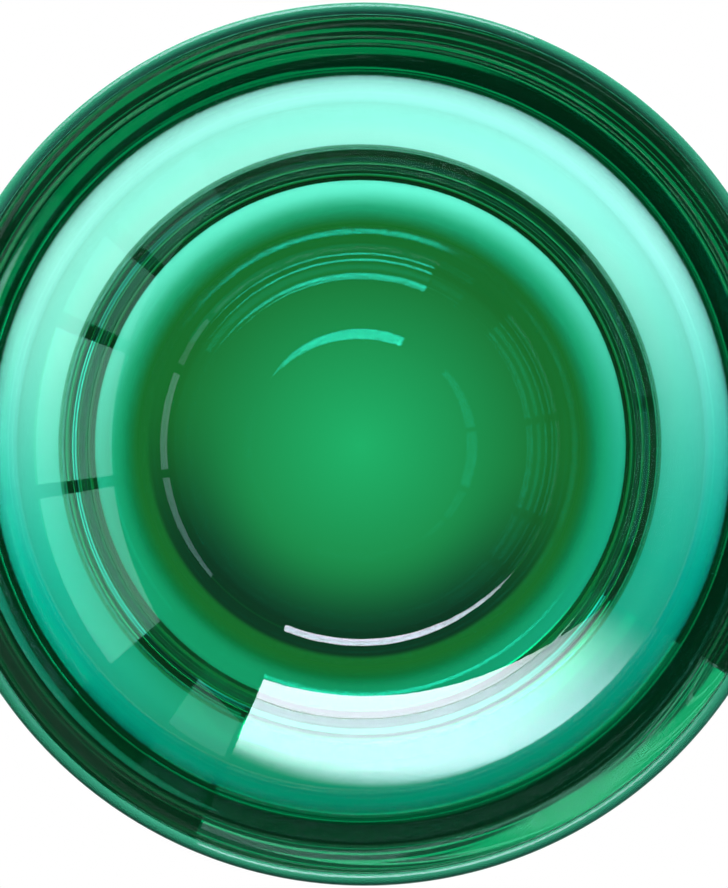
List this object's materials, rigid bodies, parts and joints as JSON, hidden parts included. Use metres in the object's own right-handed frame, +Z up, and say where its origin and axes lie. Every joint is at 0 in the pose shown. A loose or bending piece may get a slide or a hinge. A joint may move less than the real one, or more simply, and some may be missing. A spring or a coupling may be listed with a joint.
{
  "type": "water glass",
  "caption": "Round green water glass: a straight-sided tumbler bowl with a rounded bottom, fused to a short, heavy foot with a hollowed underside.",
  "frame": {"origin": "centre of the standing ring, on the plane that the glass stands on", "axes": "+Z up along the axis of the glass, out of its mouth"},
  "size_m": [0.088, 0.088, 0.09],
  "materials": {
    "green_glass": "fire-polished, smooth and clear, tinted through"
  },
  "bodies": {
    "root": {"bowl": "green_glass", "foot": "green_glass"}
  },
  "joints": []
}
